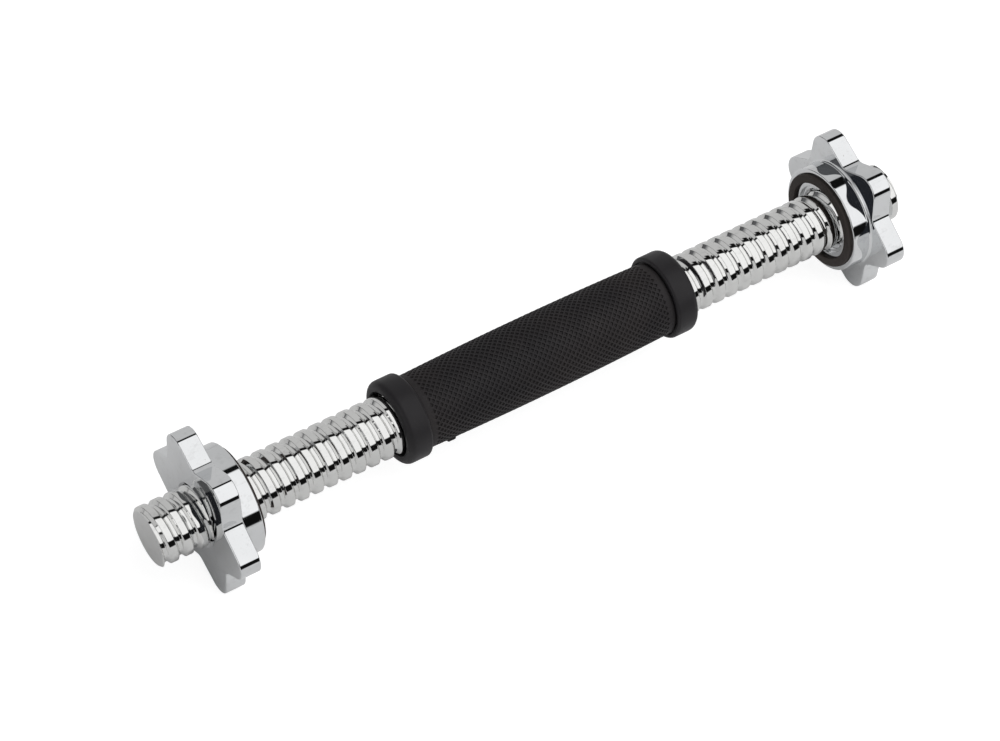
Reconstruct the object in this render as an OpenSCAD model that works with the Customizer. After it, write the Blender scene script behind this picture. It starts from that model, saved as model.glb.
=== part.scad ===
// Spin-lock dumbbell bar: a threaded steel bar with a rubber grip and two star collars.
// X runs along the bar, Z is up, and the origin is on the bar's axis at its middle.

/* [Bar] */
// Overall length of the bar
bar_length = 350; // [280:1:450]
// Diameter of the bar over the thread crests
bar_d = 25; // [20:0.5:32]
// Chamfer at each end of the bar
bar_chamfer = 0.8; // [0.4:0.1:1.4]

/* [Thread] */
// How far a collar travels in one turn
pitch = 6.35; // [5.2:0.05:8]
// Depth of the thread groove
groove_depth = 1.5; // [1:0.1:2]
// Width of the flat at the bottom of the groove
groove_root = 1.4; // [0.8:0.1:2]
// Width of the groove where it meets the crest
groove_mouth = 3.6; // [2.8:0.1:4.2]
// Where the middle of the groove crosses the +Y side of the bar nearest the bar's middle
thread_phase = 1.35; // [0:0.05:5]
// Play between a collar and the bar's thread, radially and along the bar
thread_play = 0.3; // [0.2:0.05:0.5]

/* [Grip] */
// Length over both flanges
grip_length = 137.6; // [110:0.2:170]
// Wall of the rubber sleeve at its ends
sleeve_wall = 2.9; // [2:0.1:5]
// How much the sleeve swells at its middle, on the radius
sleeve_swell = 0.9; // [0:0.1:2]
// How far each sleeve end reaches into its flange
sleeve_lap = 1.1; // [0.5:0.1:2]

/* [Flanges] */
// Width of each rubber flange along the bar
flange_width = 10.5; // [9:0.1:16]
// Rubber around the steel stop ring
flange_wall = 2; // [1.5:0.1:4]
// Rubber in front of the steel stop ring, on the plate side
flange_front = 4; // [3:0.1:5]
// Radius of the flange's edge on the plate side
flange_outer_round = 2.6; // [1:0.1:2.8]
// Radius of the flange's edge on the grip side
flange_inner_round = 1.2; // [0.4:0.1:1.4]
// Gap around the thread at the flange's mouth
flange_gap = 1.2; // [0.6:0.1:2]
// Radial thickness of each steel stop ring
stop_ring_wall = 3.3; // [3.1:0.1:6]

/* [Star collars] */
// Thickness of the star plate
star_thickness = 8.7; // [6:0.1:14]
// How far the lobes reach out past the valleys
lobe_height = 8.9; // [6:0.1:12]
// Radius of each lobe's tip
lobe_tip_r = 7.5; // [4:0.1:8]
// Radius at the bottom of each valley
valley_round = 4; // [2:0.1:6]
// How far the valleys stand outside the hub
valley_step = 2.6; // [1.5:0.1:5]
// Length of the round hub on the grip side
hub_length = 8.5; // [6:0.1:14]
// Metal around the rubber pad ring
hub_wall = 1.9; // [1.2:0.1:4]
// Fillet where the hub meets the star plate
hub_fillet = 1.2; // [0.4:0.1:1.4]
// Chamfer on the hub's front edge
hub_edge = 0.4; // [0.2:0.1:0.8]
// Bar showing outside the left collar
left_show = 20.9; // [5:0.1:40]
// Bar showing outside the right collar
right_show = 14.6; // [5:0.1:40]

/* [Collar mouths] */
// Width of the flat chrome land inside the pad ring
land_width = 1.8; // [1:0.1:2.4]
// Depth of the step behind that land
land_step = 1.2; // [0.5:0.1:2]
// Length of the cone that leads in to the thread
lead_length = 1.6; // [0.8:0.1:2.4]
// Gap around the thread at the mouth of the lead-in cones
mouth_gap = 1.3; // [0.6:0.1:1.6]

/* [Pad rings] */
// Distance from the thread crests to the inside of the pad ring
pad_inset = 4.5; // [3.9:0.1:6]
// Radial width of the pad ring
pad_width = 3.8; // [2:0.1:6]
// How far the pad ring stands out of the hub
pad_proud = 1.4; // [0.6:0.1:2.5]
// Depth of the groove that holds the pad ring
pad_seat_depth = 2.8; // [1.5:0.1:4]
// Gap between the pad ring and its groove, all round
pad_play = 0.15; // [0.1:0.05:0.3]
// Chamfer on the pad ring's outside edge
pad_edge = 0.4; // [0.2:0.1:0.6]

/* [Hidden] */
$fn = 96;

left = -1;
right = 1;
lobes = 6;
cut_margin = 1;
// The lobes' straight flanks end this far inside the arcs they meet, so that line and arc truly cross
flank_bite = 0.005;

// Bar and thread
bar_r = bar_d / 2;
root_r = bar_r - groove_depth;
turn_steps = 24;
facet_stretch = 1 / cos(180 / turn_steps);
flank_slope = (groove_mouth - groove_root) / 2 / groove_depth;
groove_overshoot = 0.6;

// Grip
flange_face_x = grip_length / 2;
flange_back_x = flange_face_x - flange_width;
sleeve_end_x = flange_back_x + sleeve_lap;
sleeve_end_r = bar_r + sleeve_wall;
sleeve_steps = 16;
stop_ring_r = bar_r + stop_ring_wall;
stop_ring_front_x = flange_face_x - flange_front;
stop_ring_length = stop_ring_front_x - sleeve_end_x;
flange_r = stop_ring_r + flange_wall;
thread_start_x = stop_ring_front_x + 1;

// Collars
bore_r = root_r + thread_play;
mouth_r = bar_r + mouth_gap;
pad_in_r = bar_r + pad_inset;
pad_out_r = pad_in_r + pad_width;
pad_length = pad_seat_depth - pad_play + pad_proud;
hub_r = pad_out_r + pad_play + hub_wall;
valley_r = hub_r + valley_step;
star_r = valley_r + lobe_height;
collar_length = hub_length + star_thickness;
land_in_r = pad_in_r - pad_play - land_width;
left_hub_x = -(bar_length / 2 - left_show - collar_length);
right_hub_x = bar_length / 2 - right_show - collar_length;

// Turns a shape drawn along local Z so that it runs along X, away from the grip on its side
module facing(side) {
    rotate([90, 0, side * 90]) children();
}

// Sweeps a profile of [radius, offset along the bar] points along the thread's helix
module helix_sweep(x_from, x_to, profile) {
    first = floor((x_from - thread_phase) / pitch * turn_steps);
    last = ceil((x_to - thread_phase) / pitch * turn_steps);
    sides = len(profile);
    rings = last - first;
    points = [
        for (i = [first : last])
            for (p = profile)
                let (turn = 360 * i / turn_steps)
                    [thread_phase + pitch * i / turn_steps + p[1], p[0] * cos(turn), p[0] * sin(turn)]
    ];
    walls = [
        for (i = [0 : rings - 1])
            for (j = [0 : sides - 1])
                let (a = i * sides + j, b = i * sides + (j + 1) % sides)
                    each [[a, b + sides, b], [a, a + sides, b + sides]]
    ];
    start_cap = [[for (j = [0 : sides - 1]) j]];
    end_cap = [[for (j = [0 : sides - 1]) rings * sides + sides - 1 - j]];
    polyhedron(points, concat(walls, start_cap, end_cap), convexity = 10);
}

// The groove cut in the bar, wider than the crest at its mouth so that it cuts cleanly
function groove_profile() =
    let (top = bar_r + groove_overshoot, half = groove_mouth / 2 + flank_slope * groove_overshoot)
        [[root_r, -groove_root / 2], [root_r, groove_root / 2], [top, half], [top, -half]];

// The space in a collar for the bar's ridge, half a pitch away from the groove
function ridge_profile() =
    let (
        inner = bore_r - cut_margin / 2,
        outer = (bar_r + thread_play) * facet_stretch,
        crest_half = (pitch - groove_mouth) / 2 + thread_play,
        inner_half = crest_half + flank_slope * (bar_r - inner),
        outer_half = crest_half - flank_slope * (outer - bar_r)
    )
        [[inner, pitch / 2 - inner_half], [inner, pitch / 2 + inner_half],
         [outer, pitch / 2 + outer_half], [outer, pitch / 2 - outer_half]];

// A closed ring about local Z
module ring(r_in, r_out, z_from, z_to) {
    difference() {
        translate([0, 0, z_from]) cylinder(r = r_out, h = z_to - z_from);
        translate([0, 0, z_from - cut_margin]) cylinder(r = r_in, h = z_to - z_from + 2 * cut_margin);
    }
}

module bar() {
    half = bar_length / 2;
    color("gainsboro")
    difference() {
        facing(right)
        rotate_extrude()
        polygon([
            [0, -half], [bar_r - bar_chamfer, -half], [bar_r, -half + bar_chamfer],
            [bar_r, half - bar_chamfer], [bar_r - bar_chamfer, half], [0, half]
        ]);
        helix_sweep(-half - pitch, -thread_start_x, groove_profile());
        helix_sweep(thread_start_x, half + pitch, groove_profile());
    }
}

module grip_sleeve() {
    outside = [
        for (i = [-sleeve_steps / 2 : sleeve_steps / 2])
            let (t = 2 * i / sleeve_steps)
                [sleeve_end_r + sleeve_swell * (1 - t * t), sleeve_end_x * t]
    ];
    color("#242222")
    facing(right)
    rotate_extrude()
    polygon(concat(outside, [[bar_r, sleeve_end_x], [bar_r, -sleeve_end_x]]));
}

// The steel ring that carries the load of the plates, between the sleeve's end and the flange
module stop_ring(side) {
    color("silver")
    facing(side)
    ring(bar_r, stop_ring_r, sleeve_end_x, stop_ring_front_x);
}

// A rectangle whose two outer corners are rounded with true arcs
module flange_block() {
    big = flange_outer_round;
    small = flange_inner_round;
    union() {
        translate([0, flange_back_x]) square([flange_r - big, flange_width]);
        translate([0, flange_back_x + small]) square([flange_r, flange_width - small - big]);
        translate([0, flange_back_x]) square([flange_r - small, small + cut_margin]);
        translate([flange_r - big, flange_face_x - big]) circle(r = big);
        translate([flange_r - small, flange_back_x + small]) circle(r = small);
    }
}

// Half of the flange's section, hollow for the stop ring and open around the thread
module flange_profile() {
    difference() {
        flange_block();
        translate([0, flange_back_x - cut_margin])
        square([stop_ring_r, flange_width - flange_front + cut_margin]);
        square([bar_r + flange_gap, flange_face_x + cut_margin]);
    }
}

module flange(side) {
    color("#2b2a2a")
    facing(side)
    rotate_extrude()
    flange_profile();
}

// A point turned about the origin
function turned(p, angle) =
    [p[0] * cos(angle) - p[1] * sin(angle), p[0] * sin(angle) + p[1] * cos(angle)];

// Outline of the star: rounded tips and rounded valleys joined by straight flanks
module star_outline() {
    tip_at = star_r - lobe_tip_r;
    valley_at = valley_r + valley_round;
    step = 360 / lobes;
    valley = valley_at * [cos(step / 2), sin(step / 2)];
    across = valley - [tip_at, 0];
    flank = atan2(across[1], across[0]) - acos((lobe_tip_r + valley_round) / norm(across));
    square_to_flank = [cos(flank), sin(flank)];
    tip_end = [tip_at, 0] + (lobe_tip_r - flank_bite) * square_to_flank;
    valley_end = valley - (valley_round - flank_bite) * square_to_flank;
    one_lobe = [[valley_end[0], -valley_end[1]], [tip_end[0], -tip_end[1]], tip_end, valley_end];
    difference() {
        union() {
            polygon([for (k = [0 : lobes - 1]) for (p = one_lobe) turned(p, k * step)]);
            for (k = [0 : lobes - 1])
                translate(turned([tip_at, 0], k * step)) circle(r = lobe_tip_r);
        }
        for (k = [0 : lobes - 1])
            translate(turned(valley, k * step)) circle(r = valley_round);
    }
}

// The collar before threading: local Z starts at the hub's front face and ends at the star's face
module collar_blank() {
    seat_in_r = pad_in_r - pad_play;
    seat_out_r = pad_out_r + pad_play;
    difference() {
        union() {
            translate([0, 0, hub_length]) linear_extrude(height = star_thickness) star_outline();
            rotate_extrude()
            polygon([
                [0, 0], [hub_r - hub_edge, 0], [hub_r, hub_edge],
                [hub_r, hub_length + cut_margin], [0, hub_length + cut_margin]
            ]);
            rotate_extrude()
            difference() {
                translate([hub_r - cut_margin, hub_length - hub_fillet])
                square([hub_fillet + cut_margin, hub_fillet + cut_margin]);
                translate([hub_r + hub_fillet, hub_length - hub_fillet]) circle(r = hub_fillet);
            }
        }
        translate([0, 0, -cut_margin]) cylinder(r = bore_r, h = collar_length + 2 * cut_margin);
        ring(seat_in_r, seat_out_r, -cut_margin, pad_seat_depth);
        translate([0, 0, -cut_margin]) cylinder(r = land_in_r, h = land_step + cut_margin);
        translate([0, 0, land_step]) cylinder(r1 = mouth_r, r2 = bore_r, h = lead_length);
        translate([0, 0, collar_length - lead_length])
        cylinder(r1 = bore_r, r2 = mouth_r, h = lead_length);
        translate([0, 0, collar_length]) cylinder(r = mouth_r, h = cut_margin);
    }
}

module star_collar(side, hub_x) {
    face_x = hub_x + side * collar_length;
    color("gainsboro")
    difference() {
        translate([hub_x, 0, 0]) facing(side) collar_blank();
        helix_sweep(min(hub_x, face_x) - pitch, max(hub_x, face_x) + pitch, ridge_profile());
    }
}

module pad_ring(side, hub_x) {
    color("#2e2a28")
    translate([hub_x, 0, 0])
    facing(side)
    rotate_extrude()
    polygon([
        [pad_in_r, -pad_proud], [pad_out_r - pad_edge, -pad_proud], [pad_out_r, -pad_proud + pad_edge],
        [pad_out_r, pad_length - pad_proud], [pad_in_r, pad_length - pad_proud]
    ]);
}

bar();
grip_sleeve();
stop_ring(left);  // left_stop_ring
stop_ring(right);  // right_stop_ring
flange(left);  // left_flange
flange(right);  // right_flange
star_collar(left, left_hub_x);  // left_star_collar
star_collar(right, right_hub_x);  // right_star_collar
pad_ring(left, left_hub_x);  // left_pad_ring
pad_ring(right, right_hub_x);  // right_pad_ring
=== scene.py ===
import math

import bpy
import bmesh
from mathutils import Matrix, Vector


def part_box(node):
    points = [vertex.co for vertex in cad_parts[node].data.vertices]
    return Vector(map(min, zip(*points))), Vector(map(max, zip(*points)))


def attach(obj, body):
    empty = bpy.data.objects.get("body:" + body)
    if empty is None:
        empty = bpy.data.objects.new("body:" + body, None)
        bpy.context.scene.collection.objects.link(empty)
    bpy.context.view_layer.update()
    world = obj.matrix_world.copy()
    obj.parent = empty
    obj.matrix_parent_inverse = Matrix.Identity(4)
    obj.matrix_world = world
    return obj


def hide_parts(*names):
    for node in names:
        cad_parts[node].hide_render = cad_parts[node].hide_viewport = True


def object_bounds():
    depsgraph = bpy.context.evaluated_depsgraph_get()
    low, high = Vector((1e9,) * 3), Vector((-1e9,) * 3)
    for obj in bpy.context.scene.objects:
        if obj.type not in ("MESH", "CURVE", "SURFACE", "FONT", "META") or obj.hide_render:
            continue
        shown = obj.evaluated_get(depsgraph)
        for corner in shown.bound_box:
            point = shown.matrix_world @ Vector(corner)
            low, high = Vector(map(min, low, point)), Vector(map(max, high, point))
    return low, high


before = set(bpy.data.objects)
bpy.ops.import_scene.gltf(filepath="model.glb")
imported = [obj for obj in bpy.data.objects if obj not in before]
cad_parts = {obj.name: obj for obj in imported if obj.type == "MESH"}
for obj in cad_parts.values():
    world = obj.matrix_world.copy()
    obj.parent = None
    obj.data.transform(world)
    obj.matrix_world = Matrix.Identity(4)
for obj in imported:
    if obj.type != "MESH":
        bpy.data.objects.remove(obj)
cad_low, cad_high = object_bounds()

mm = 0.001
left, right = -1, 1

# Sizes of the bar and its thread
bar_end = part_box("bar")[1].x
crest_r = 12.5 * mm
root_r = 11.0 * mm
end_chamfer = 0.8 * mm
pitch = 6.35 * mm
groove_root = 1.4 * mm
groove_mouth = 3.6 * mm
groove_crossing = 1.35 * mm
thread_start = 65.8 * mm
thread_play = 0.3 * mm
crest_round = 0.32 * mm
root_round = 0.35 * mm
shank_lap = 0.4 * mm

# Grip and flanges
sleeve_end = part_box("grip_sleeve")[1].x
sleeve_end_r = 15.4 * mm
sleeve_swell = 0.9 * mm
flange_r = 17.8 * mm
flange_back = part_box("right_flange")[0].x
flange_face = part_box("right_flange")[1].x
stop_ring_r = 15.8 * mm
flange_pocket = flange_face - 4.0 * mm
flange_mouth_r = 13.7 * mm
flange_back_round = 1.3 * mm
flange_front_round = 2.7 * mm
parting_line_r = 16.0 * mm
parting_line_width = 0.35 * mm

# Star collars and their pad rings
hub_face = {left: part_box("left_star_collar")[1].x, right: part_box("right_star_collar")[0].x}
pad_face = {left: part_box("left_pad_ring")[1].x, right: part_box("right_pad_ring")[0].x}
hub_length = 8.5 * mm
star_thickness = 8.7 * mm
collar_length = hub_length + star_thickness
hub_r = 22.85 * mm
star_r = 34.32 * mm
tip_r = 7.5 * mm
valley_r = 25.45 * mm
valley_round = 4.0 * mm
bore_r = root_r + thread_play
mouth_r = 13.8 * mm
lead_length = 1.6 * mm
land_in_r = 15.05 * mm
land_step = 1.2 * mm
pad_in_r = 17.0 * mm
pad_out_r = 20.8 * mm
pad_play = 0.15 * mm
seat_depth = 2.8 * mm
hub_round = 0.55 * mm
hub_fillet = 1.2 * mm
star_edge_round = 0.5 * mm
tap_crest_round = 0.3 * mm
tap_root_round = 0.2 * mm

# Working allowances
same_point = 0.002 * mm
spare = 1.0 * mm


# ---------------------------------------------------------------- modelling by hand

def nothing_selected():
    if bpy.context.object is not None and bpy.context.object.mode != "OBJECT":
        bpy.ops.object.mode_set(mode="OBJECT")
    bpy.ops.object.select_all(action="DESELECT")


def make_active(piece):
    nothing_selected()
    piece.select_set(True)
    bpy.context.view_layer.objects.active = piece


def edit(kind="VERT"):
    bpy.ops.object.mode_set(mode="EDIT")
    bpy.ops.mesh.select_mode(type=kind)


def done():
    bpy.ops.object.mode_set(mode="OBJECT")


def pick(kind, test):
    """In edit mode, selects the vertices, edges or faces for which test is true."""
    mesh = bmesh.from_edit_mesh(bpy.context.object.data)
    for group in (mesh.faces, mesh.edges, mesh.verts):
        for part in group:
            part.select = False
    for part in {"VERT": mesh.verts, "EDGE": mesh.edges, "FACE": mesh.faces}[kind]:
        if test(part):
            part.select_set(True)
    bmesh.update_edit_mesh(bpy.context.object.data)


def middle(part):
    """The middle of an edge or a face."""
    return sum((v.co for v in part.verts), Vector()) / len(part.verts)


def away(point):
    """Distance from the bar's axis."""
    return math.hypot(point.y, point.z)


def corner_arc(before, corner, after, radius, steps):
    """Points of the arc that rounds a profile's corner."""
    a = (Vector(before) - Vector(corner)).normalized()
    b = (Vector(after) - Vector(corner)).normalized()
    half = a.angle(b) / 2
    run = radius / math.tan(half)
    centre = Vector(corner) + (a + b).normalized() * radius / math.sin(half)
    start = Vector(corner) + a * run - centre
    turn = (Vector(corner) + b * run - centre).angle_signed(start)
    return [centre + Matrix.Rotation(turn * k / steps, 2) @ start for k in range(steps + 1)]


def rounded(corners, steps=4):
    """A profile of (along, out, rounding) corners as points, with its corners rounded."""
    points = []
    for k, (x, r, rounding) in enumerate(corners):
        before, after = corners[k - 1][:2], corners[(k + 1) % len(corners)][:2]
        if rounding:
            points += corner_arc(before, (x, r), after, rounding, steps)
        else:
            points.append(Vector((x, r)))
    return points


def draw_line(name, points, closed=False):
    """Merges a small plane to one point and extrudes it from point to point, in the XY plane."""
    nothing_selected()
    bpy.ops.mesh.primitive_plane_add(size=mm, location=(0, 0, 0))
    piece = bpy.context.object
    piece.name = name
    edit()
    bpy.ops.mesh.select_all(action="SELECT")
    bpy.ops.mesh.merge(type="CENTER")
    at = Vector(points[0])
    bpy.ops.transform.translate(value=(at.x, at.y, 0))
    for point in points[1:]:
        step = Vector(point) - at
        bpy.ops.mesh.extrude_region_move(TRANSFORM_OT_translate={"value": (step.x, step.y, 0)})
        at = Vector(point)
    if closed:
        mesh = bmesh.from_edit_mesh(piece.data)
        ends = {v.index for v in mesh.verts if len(v.link_edges) == 1}
        pick("VERT", lambda v: v.index in ends)
        bpy.ops.mesh.edge_face_add()
    done()
    return piece


def tidy_surface(piece):
    """Merges doubles and turns every face outwards."""
    make_active(piece)
    edit()
    bpy.ops.mesh.select_all(action="SELECT")
    bpy.ops.mesh.remove_doubles(threshold=same_point)
    bpy.ops.mesh.normals_make_consistent(inside=False)
    done()


def lathe(name, points, closed, steps):
    """Turns a profile of (along, out) points round the bar's axis."""
    piece = draw_line(name, points, closed)
    edit()
    bpy.ops.mesh.select_all(action="SELECT")
    bpy.ops.mesh.spin(steps=steps, angle=2 * math.pi, center=(0, 0, 0), axis=(1, 0, 0))
    done()
    tidy_surface(piece)
    return piece


def apply_modifier(piece, kind, **settings):
    make_active(piece)
    modifier = piece.modifiers.new(kind.title(), kind)
    for name, value in settings.items():
        setattr(modifier, name, value)
    bpy.ops.object.modifier_apply(modifier=modifier.name)


def cut(piece, tool, operation="DIFFERENCE"):
    """Cuts, joins or trims a piece with another one, which is used up."""
    apply_modifier(piece, "BOOLEAN", object=tool, operation=operation, solver="EXACT")
    bpy.data.objects.remove(tool)


def smooth(piece, degrees=30, weighted=False):
    make_active(piece)
    bpy.ops.object.shade_smooth_by_angle(angle=math.radians(degrees))
    if weighted:
        apply_modifier(piece, "WEIGHTED_NORMAL", weight=100, keep_sharp=True)


# ---------------------------------------------------------------- threads

def thread_profile(crest, root, groove_widening, round_crest, round_root):
    """One pitch of the thread's section, from the middle of one crest to the middle of the next."""
    mouth = groove_mouth / 2 + groove_widening
    bottom = groove_root / 2 + groove_widening
    corners = [
        (-pitch / 2, crest, 0), (-mouth, crest, round_crest), (-bottom, root, round_root),
        (bottom, root, round_root), (mouth, crest, round_crest), (pitch / 2, crest, 0),
    ]
    line = [Vector(corners[0][:2])]
    for k in range(1, 5):
        line += corner_arc(corners[k - 1][:2], corners[k][:2], corners[k + 1][:2], corners[k][2], 3)
    return line + [Vector(corners[5][:2])]


def threaded_rod(name, x_from, x_to, profile, steps):
    """A right-hand screw surface, cut off flat at both ends."""
    first = math.floor((x_from - groove_crossing) / pitch) - 1
    turns = math.ceil((x_to - groove_crossing) / pitch) + 1 - first
    start = groove_crossing + first * pitch
    rod = draw_line(name, [(start + p.x, p.y) for p in profile])
    apply_modifier(rod, "SCREW", axis="X", angle=2 * math.pi, screw_offset=pitch, iterations=turns,
                   steps=steps, render_steps=steps)
    edit()
    bpy.ops.mesh.select_all(action="SELECT")
    bpy.ops.mesh.remove_doubles(threshold=same_point)
    for x, outward in ((x_from, -1), (x_to, 1)):
        bpy.ops.mesh.select_all(action="SELECT")
        bpy.ops.mesh.bisect(plane_co=(x, 0, 0), plane_no=(outward, 0, 0), use_fill=True, clear_outer=True)
    done()
    tidy_surface(rod)
    return rod


def make_bar():
    profile = thread_profile(crest_r, root_r, 0, crest_round, root_round)
    clear = 0.2 * mm
    threads = []
    for side in (left, right):
        inner, outer = side * thread_start, side * (bar_end + spare)
        rod = threaded_rod("thread", min(inner, outer), max(inner, outer), profile, 72)
        envelope = lathe("envelope", [
            (side * (thread_start - spare), 0), (side * (thread_start - spare), crest_r + clear),
            (side * (bar_end - end_chamfer - clear), crest_r + clear),
            (side * bar_end, crest_r - end_chamfer), (side * bar_end, 0),
        ], False, 96)
        cut(rod, envelope, "INTERSECT")
        threads.append(rod)
    # the plain middle laps a little over the threads, so that the three join into one skin
    plain_end = thread_start + shank_lap
    shank = lathe("threaded_bar", [(-plain_end, 0), (-plain_end, crest_r), (plain_end, crest_r),
                                   (plain_end, 0)], False, 72)
    for rod in threads:
        cut(shank, rod, "UNION")
    tidy_surface(shank)
    smooth(shank, 32)
    return shank


# ---------------------------------------------------------------- grip

def sleeve_radius(x):
    share = x / sleeve_end
    return sleeve_end_r + sleeve_swell * (1 - share * share)


def make_sleeve():
    around = 38
    cell = 2.66 * mm
    rows = 43
    half_ridge = 0.28 * mm
    pit_wall = 0.18 * mm
    pit_depth = 0.5 * mm
    zone = rows * cell / 2
    shoulder = sleeve_end - 1.0 * mm
    outside = [(-sleeve_end, sleeve_end_r - 1.0 * mm), (-sleeve_end + 0.3 * mm, sleeve_end_r - 0.6 * mm),
               (-shoulder, sleeve_radius(shoulder) - 0.1 * mm)]
    outside += [(x, sleeve_radius(x)) for x in (-zone + k * cell for k in range(rows + 1))]
    outside += [(-x, r) for x, r in reversed(outside[:3])]
    inside = [(sleeve_end, crest_r), (-sleeve_end, crest_r)]
    sleeve = lathe("knurled_grip", outside + inside, True, around)
    make_active(sleeve)
    edit("FACE")
    pick("FACE", lambda f: abs(middle(f).x) < zone and away(middle(f)) > crest_r + mm)
    bpy.ops.mesh.poke()
    bpy.ops.mesh.select_mode(type="EDGE")

    def between_cells(e):
        a, b = (v.co for v in e.verts)
        straight = abs(a.x - b.x) < 0.05 * mm or abs(a.x - b.x) > 0.9 * cell
        return (straight and max(abs(a.x), abs(b.x)) < zone + 0.01 * mm
                and abs(middle(e).x) < zone - 0.01 * mm and away(middle(e)) > crest_r + mm)

    pick("EDGE", between_cells)
    bpy.ops.mesh.dissolve_edges(use_verts=False)
    bpy.ops.mesh.select_mode(type="FACE")
    pick("FACE", lambda f: len(f.verts) == 4 and abs(middle(f).x) < zone - 0.6 * cell
         and away(middle(f)) > crest_r + mm)
    bpy.ops.mesh.inset(thickness=half_ridge, depth=0, use_individual=True)
    bpy.ops.mesh.inset(thickness=pit_wall, depth=-pit_depth, use_individual=True)

    # a nib of flash left by the mould
    nib_r, nib_reach, nib_height, nib_taper = 16.4 * mm, 1.6 * mm, 0.8 * mm, 0.7
    nib = Vector((-47.2 * mm, -0.81 * nib_r, -0.59 * nib_r))
    pick("FACE", lambda f: (middle(f) - nib).length < nib_reach)
    bpy.ops.mesh.extrude_region_shrink_fatten(TRANSFORM_OT_shrink_fatten={"value": nib_height})
    bpy.ops.transform.resize(value=(nib_taper,) * 3)
    done()
    smooth(sleeve, 35)
    return sleeve


def make_flange(name, side):
    flange = lathe(name, [(side * p.x, p.y) for p in rounded([
        (flange_back, stop_ring_r, 0.3 * mm), (flange_back, flange_r, flange_back_round),
        (flange_face, flange_r, flange_front_round), (flange_face, flange_mouth_r, 0.6 * mm),
        (flange_pocket, flange_mouth_r, 0), (flange_pocket, stop_ring_r, 0),
    ], 6)], True, 96)

    # the mould's parting line across the outer face, as deep as it is wide
    nothing_selected()
    bpy.ops.mesh.primitive_cube_add(size=1, location=(side * flange_face, -parting_line_r, 0))
    line = bpy.context.object
    line.scale = (2 * parting_line_width, 6 * mm, parting_line_width)
    bpy.ops.object.transform_apply(location=True, rotation=True, scale=True)
    cut(flange, line)
    smooth(flange, 35)
    return flange


# ---------------------------------------------------------------- star collars

def lobe_outline():
    """Half a valley, a lobe and half a valley: the part of the star that repeats."""
    tip_at = star_r - tip_r
    valley = (valley_r + valley_round) * Vector((math.cos(math.pi / 6), math.sin(math.pi / 6)))
    across = valley - Vector((tip_at, 0))
    flank = math.atan2(across.y, across.x) - math.acos((tip_r + valley_round) / across.length)
    tip_steps, valley_steps = 14, 5
    tip = [Vector((tip_at, 0)) + tip_r * Vector((math.cos(a), math.sin(a)))
           for a in (flank * k / tip_steps for k in range(tip_steps + 1))]
    ends = math.pi * 7 / 6
    starts = flank + math.pi
    dip = [valley + valley_round * Vector((math.cos(a), math.sin(a)))
           for a in (starts + (ends - starts) * k / valley_steps for k in range(valley_steps + 1))]
    half = tip + dip
    return [Vector((p.x, -p.y)) for p in reversed(half[1:])] + half


def make_star_plate(name, side):
    inner = hub_face[side] + side * hub_length
    plate = draw_line(name, lobe_outline())
    edit()
    bpy.ops.mesh.select_all(action="SELECT")
    for axis in "ZY":
        bpy.ops.transform.rotate(value=math.pi / 2, orient_axis=axis, center_override=(0, 0, 0))
    bpy.ops.mesh.select_all(action="SELECT")
    bpy.ops.mesh.spin(steps=6, angle=2 * math.pi, center=(0, 0, 0), axis=(1, 0, 0), dupli=True)
    bpy.ops.mesh.select_all(action="SELECT")
    bpy.ops.mesh.remove_doubles(threshold=0.02 * mm)
    bpy.ops.transform.translate(value=(inner, 0, 0))
    bpy.ops.mesh.edge_face_add()
    bpy.ops.mesh.extrude_region_move(TRANSFORM_OT_translate={"value": (side * star_thickness, 0, 0)})
    done()
    tidy_surface(plate)
    edit("EDGE")
    pick("EDGE", lambda e: abs(e.verts[0].co.x - e.verts[1].co.x) < 0.01 * mm)
    bpy.ops.mesh.bevel(offset=star_edge_round, segments=4, affect="EDGES")
    done()
    return plate


def make_collar(name, side):
    face = hub_face[side]
    plate = make_star_plate(name, side)
    foot_r = hub_r + hub_fillet + 0.05 * mm
    into_plate = 2 * mm
    profile = rounded([
        (land_step + lead_length, bore_r, 0), (land_step, mouth_r, 0.25 * mm),
        (land_step, land_in_r, 0.15 * mm), (0, land_in_r, 0.2 * mm),
        (0, pad_in_r - pad_play, 0.1 * mm), (seat_depth, pad_in_r - pad_play, 0),
        (seat_depth, pad_out_r + pad_play, 0), (0, pad_out_r + pad_play, 0.1 * mm),
        (0, hub_r, hub_round), (hub_length, hub_r, hub_fillet),
        (hub_length, foot_r, 0), (hub_length + into_plate, foot_r, 0),
    ], 5)
    # the fillet's foot sinks a hair into the plate, so that the two join cleanly
    points = [(land_step + lead_length, 0)] + [(p.x, p.y) for p in profile] + [(hub_length + into_plate, 0)]
    sunk = [(x + (0.02 * mm if x > hub_length / 2 else 0), r) for x, r in points]
    hub = lathe("hub", [(face + side * x, r) for x, r in sunk], False, 144)
    cut(plate, hub, "UNION")
    outer = face + side * collar_length
    past = outer + side * 0.1 * mm
    lead = lathe("lead_in", [(outer - side * lead_length, 0), (outer - side * lead_length, bore_r),
                             (past, mouth_r + 0.15 * mm), (past, 0)], False, 96)
    cut(plate, lead)
    profile = thread_profile(crest_r + thread_play, bore_r, -thread_play, tap_crest_round, tap_root_round)
    ends = sorted((face - side * spare, outer + side * spare))
    cut(plate, threaded_rod("tap", ends[0], ends[1], profile, 64))
    tidy_surface(plate)
    smooth(plate, 32, weighted=True)
    return plate


def make_pad(name, side):
    face = pad_face[side]
    back = hub_face[side] + side * (seat_depth - pad_play)
    pad = lathe(name, [(p.x, p.y) for p in rounded([
        (face, pad_in_r, 0.35 * mm), (face, pad_out_r, 0.5 * mm),
        (back, pad_out_r, 0), (back, pad_in_r, 0),
    ], 5)], True, 128)
    smooth(pad, 40)
    return pad


# ---------------------------------------------------------------- finishes

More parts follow.
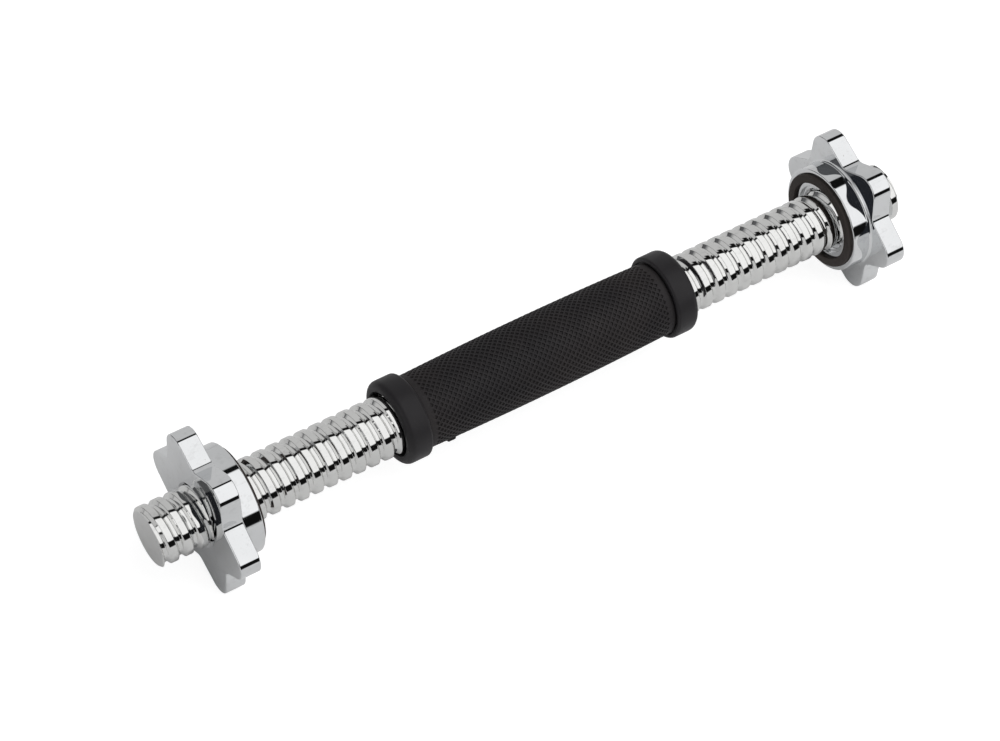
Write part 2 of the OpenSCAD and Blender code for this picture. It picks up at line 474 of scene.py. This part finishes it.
class Wave:
    """A shader socket that takes part in arithmetic."""

    def __init__(self, finish, socket):
        self.finish, self.socket = finish, socket

    def math(self, operation, *others):
        values = dict(enumerate((self, *others)))
        return self.finish.node("ShaderNodeMath", {"operation": operation}, values)

    def __add__(self, other):
        return self.math("ADD", other)

    def __mul__(self, other):
        return self.math("MULTIPLY", other)

    def __truediv__(self, other):
        return self.math("DIVIDE", other)


class Finish:
    """A node tree being made, for a material or for the studio."""

    def __init__(self, name, **constants):
        self.material = bpy.data.materials.new(name)
        self.material.use_nodes = True
        self.tree = self.material.node_tree
        self.shader = self.tree.nodes["Principled BSDF"]
        for socket, value in constants.items():
            self.shader.inputs[socket.replace("_", " ")].default_value = value

    def node(self, kind, settings=None, values=None, out=0):
        made = self.tree.nodes.new(kind)
        for name, value in (settings or {}).items():
            if name == "stops":
                ramp = made.color_ramp
                for k, (place, colour) in enumerate(value):
                    stop = ramp.elements[k] if k < 2 else ramp.elements.new(place)
                    stop.position, stop.color = place, (*colour, 1)
            else:
                setattr(made, name, value)
        for name, value in (values or {}).items():
            if isinstance(value, Wave):
                self.tree.links.new(value.socket, made.inputs[name])
            else:
                made.inputs[name].default_value = value
        return Wave(self, made.outputs[out]) if len(made.outputs) else None

    def feed(self, socket, value):
        self.tree.links.new(value.socket, self.shader.inputs[socket])

    def place(self):
        """Object coordinates, in metres."""
        return self.node("ShaderNodeTexCoord", out="Object")

    def noise(self, scale, detail=3.0, roughness=0.5, stretch=(1, 1, 1)):
        mapped = self.node("ShaderNodeMapping", None, {"Vector": self.place(), "Scale": stretch})
        return self.node("ShaderNodeTexNoise", None, {"Vector": mapped, "Scale": scale, "Detail": detail,
                                                      "Roughness": roughness}, "Fac")

    def between(self, value, low, high, to_low=0.0, to_high=1.0):
        """Value from low..high carried to to_low..to_high, and held there outside it."""
        return self.node("ShaderNodeMapRange", None, {"Value": value, "From Min": low, "From Max": high,
                                                      "To Min": to_low, "To Max": to_high})

    def blend(self, amount, first, second):
        """Two colours mixed by an amount."""
        colours = [c if isinstance(c, Wave) else (*c, 1) for c in (first, second)]
        return self.node("ShaderNodeMix", {"data_type": "RGBA"},
                         {0: amount, 6: colours[0], 7: colours[1]}, 2)

    def bumps(self, height, strength, distance):
        values = {"Height": height, "Strength": strength, "Distance": distance}
        return self.node("ShaderNodeBump", None, values)


def chrome(name, colour, dull, grain):
    """Bright chrome plate: nearly a mirror, with faint clouding, fine scratches and duller specks."""
    finish = Finish(name, Metallic=1.0, IOR=1.45)
    cloud = finish.noise(55, 3)
    tint = finish.blend(finish.between(cloud, 0.35, 0.7), colour, [c * 0.94 for c in colour])
    specks = finish.between(finish.noise(900, 2), 0.70, 0.78)
    tint = finish.blend(specks * 0.45, tint, (0.42, 0.38, 0.33))
    mottle = finish.between(finish.noise(260, 4, 0.7, (0.7, 1, 1)), 0.54, 0.70)
    tint = finish.blend(mottle * 0.30, tint, (0.50, 0.50, 0.50))
    finish.feed("Base Color", tint)
    scratches = finish.noise(420, 2, 0.6, (0.25, 3.0, 3.0))
    finish.feed("Roughness", finish.between(cloud, 0.3, 0.75, dull * 0.6, dull * 1.3)
                + finish.between(scratches, 0.62, 0.8, 0, 0.10) + specks * 0.2)
    ripple = finish.noise(140, 2, 0.4)
    finish.feed("Normal", finish.bumps(ripple + scratches * 0.12, grain, 0.05 * mm))
    return finish.material


def moulded_rubber(name, dark, dusty, gloss, grain):
    """Black moulded rubber: matt, finely grained, greyer where it has been handled."""
    finish = Finish(name, IOR=1.5, Specular_IOR_Level=0.22)
    handled = finish.between(finish.noise(38, 4, 0.6), 0.42, 0.68)
    fine = finish.noise(1500, 3, 0.6)
    colour = finish.blend(handled * 0.6, dark, dusty)
    colour = finish.blend(finish.between(fine, 0.62, 0.75) * 0.35, colour, [c * 2.2 for c in dusty])
    finish.feed("Base Color", colour)
    finish.feed("Roughness", finish.between(finish.noise(120, 3), 0.3, 0.7, gloss - 0.06, gloss + 0.07))
    finish.feed("Normal", finish.bumps(fine + finish.noise(300, 2) * 0.6, grain, 0.06 * mm))
    return finish.material


def turned_steel():
    finish = Finish("turned_steel", Metallic=1.0)
    rings = finish.noise(500, 2, 0.5, (6.0, 0.3, 0.3))
    finish.feed("Base Color", finish.blend(rings, (0.07, 0.07, 0.07), (0.13, 0.13, 0.13)))
    finish.feed("Roughness", finish.between(rings, 0.3, 0.7, 0.45, 0.6))
    finish.feed("Normal", finish.bumps(rings, 0.3, 0.05 * mm))
    return finish.material


def dress(piece, material):
    piece.data.materials.clear()
    piece.data.materials.append(material)


def settle(piece, body, node, material):
    dress(piece, material)
    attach(piece, body)
    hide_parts(node)


bar_chrome = chrome("bar_chrome", (0.80, 0.80, 0.79), 0.05, 0.10)
collar_chrome = chrome("collar_chrome", (0.79, 0.80, 0.81), 0.045, 0.06)
grip_rubber = moulded_rubber("grip_rubber", (0.0160, 0.0146, 0.0158), (0.026, 0.0222, 0.0220), 0.60, 0.25)
flange_rubber = moulded_rubber("flange_rubber", (0.0120, 0.0110, 0.0122), (0.018, 0.0168, 0.0185),
                               0.44, 0.15)
pad_rubber = moulded_rubber("pad_rubber", (0.028, 0.023, 0.021), (0.040, 0.033, 0.030), 0.65, 0.2)
steel = turned_steel()

settle(make_bar(), "handle", "bar", bar_chrome)
settle(make_sleeve(), "handle", "grip_sleeve", grip_rubber)
for side, word in ((left, "left"), (right, "right")):
    settle(make_flange(word + "_end_flange", side), "handle", word + "_flange",
           flange_rubber)
    settle(make_collar(word + "_star_nut", side), word + "_collar", word + "_star_collar",
           collar_chrome)
    settle(make_pad(word + "_pad", side), word + "_pad", word + "_pad_ring", pad_rubber)
    dress(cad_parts[word + "_stop_ring"], steel)


# ---------------------------------------------------------------- studio

floor_z = cad_low.z - 0.05 * mm


def flat_card(name, size, centre, material):
    nothing_selected()
    bpy.ops.mesh.primitive_plane_add(size=1, location=centre)
    card = bpy.context.object
    card.name = name
    card.scale = (size[0], size[1], 1)
    bpy.ops.object.transform_apply(location=True, rotation=True, scale=True)
    dress(card, material)
    return card


paper = Finish("pale_paper", Base_Color=(0.30, 0.30, 0.30, 1), Roughness=0.9, Emission_Color=(1, 1, 1, 1),
               Emission_Strength=0.86).material
grey_paper = Finish("grey_paper", Base_Color=(0.68, 0.68, 0.68, 1), Roughness=0.9).material
floor = flat_card("floor", (6, 6), (0, 0, floor_z), paper)
floor.visible_glossy = False
table = flat_card("table_seen_in_the_chrome", (3.0, 1.6), (0, 0.65, floor_z + 0.02 * mm), grey_paper)
table.visible_camera = False
table.visible_diffuse = False
table.visible_shadow = False

world = bpy.data.worlds.new("studio")
bpy.context.scene.world = world
world.use_nodes = True


class Studio(Finish):
    """The light all round: a long softbox overhead, dim walls, and white behind for the eye."""

    def __init__(self):
        self.tree = world.node_tree
        self.tree.nodes.clear()


studio = Studio()
direction = studio.node("ShaderNodeTexCoord", out="Generated")
split = studio.tree.nodes.new("ShaderNodeSeparateXYZ")
studio.tree.links.new(direction.socket, split.inputs[0])
toward, up = Wave(studio, split.outputs[1]) * -1, Wave(studio, split.outputs[2])
angle = up.math("ARCTAN2", toward) / (2 * math.pi) + 0.5


def turn_at(degrees):
    return degrees / 360 + 0.5


apron, wall, box, gap = (0.64,) * 3, (0.60,) * 3, (1.08,) * 3, (0.006,) * 3
sweep = studio.node("ShaderNodeValToRGB", {"stops": [
    (0.0, apron), (turn_at(-14), apron), (turn_at(-12), gap), (turn_at(9), gap), (turn_at(11), box),
    (turn_at(71.5), box), (turn_at(72), (0.9,) * 3), (turn_at(72.5), box),
    (turn_at(99.5), box), (turn_at(100.5), gap), (turn_at(110), gap), (turn_at(112), wall), (1.0, wall),
]}, {"Fac": angle})
sideways = Wave(studio, split.outputs[0])
far_left = (studio.between(sideways, -0.10, -0.17) * studio.between(sideways, -0.70, -0.58)
            * studio.between(angle, turn_at(100), turn_at(115), 1.0, 0.85))
slanted_gap = (studio.between(sideways, 0.37, 0.44) * studio.between(angle, turn_at(104), turn_at(105))
               * studio.between(angle, turn_at(122), turn_at(120)))
far_right = studio.between(sideways, 0.86, 0.93)
dark_room = studio.blend(studio.between(sideways, -0.30, -0.75),
                         (0.016, 0.017, 0.020), (0.035, 0.038, 0.046))
sweep = studio.blend(far_left, sweep, dark_room)
sweep = studio.blend(slanted_gap, sweep, gap)
sweep = studio.blend(far_right, sweep, (0.25, 0.25, 0.25))
lit = studio.node("ShaderNodeBackground", None, {"Color": sweep, "Strength": 1.0})
plain = studio.node("ShaderNodeBackground", None, {"Color": (1, 1, 1, 1), "Strength": 1.0})
eye = studio.node("ShaderNodeLightPath", out="Is Camera Ray")
mixed = studio.node("ShaderNodeMixShader", None, {0: eye, 1: lit, 2: plain})
studio.node("ShaderNodeOutputWorld", None, {"Surface": mixed})

lamp_data = bpy.data.lights.new("overhead_softbox", "AREA")
lamp_data.shape = "RECTANGLE"
lamp_data.size, lamp_data.size_y = 1.6, 1.2
lamp_data.energy = 14
lamp = bpy.data.objects.new("overhead_softbox", lamp_data)
bpy.context.scene.collection.objects.link(lamp)
lamp.location = (0.55, -0.55, 1.35)
lamp.rotation_euler = (-lamp.location).to_track_quat("-Z", "Y").to_euler()
lamp.visible_glossy = False
lamp.visible_camera = False

bpy.context.scene.view_settings.view_transform = "Standard"

# ---------------------------------------------------------------- camera

turn, lift, tilt = math.radians(-34.534), math.radians(48.46), math.radians(1.954)
back = Vector((math.sin(turn) * math.cos(lift), -math.cos(turn) * math.cos(lift), math.sin(lift)))
across = Vector((math.cos(turn), math.sin(turn), 0))
upward = back.cross(across)
camera_right = across * math.cos(tilt) + upward * math.sin(tilt)
camera_up = upward * math.cos(tilt) - across * math.sin(tilt)
camera_data = bpy.data.cameras.new("camera")
camera_data.sensor_width = 36
camera_data.lens = 110.67
camera_data.clip_end = 20
camera = bpy.data.objects.new("camera", camera_data)
bpy.context.scene.collection.objects.link(camera)
distance, shift_right, shift_up = 1.22662, 13.68, 6.09
stand = back * distance - camera_right * shift_right * mm - camera_up * shift_up * mm
camera.matrix_world = Matrix((
    (camera_right.x, camera_up.x, back.x, stand.x),
    (camera_right.y, camera_up.y, back.y, stand.y),
    (camera_right.z, camera_up.z, back.z, stand.z),
    (0, 0, 0, 1),
))
bpy.context.scene.camera = camera
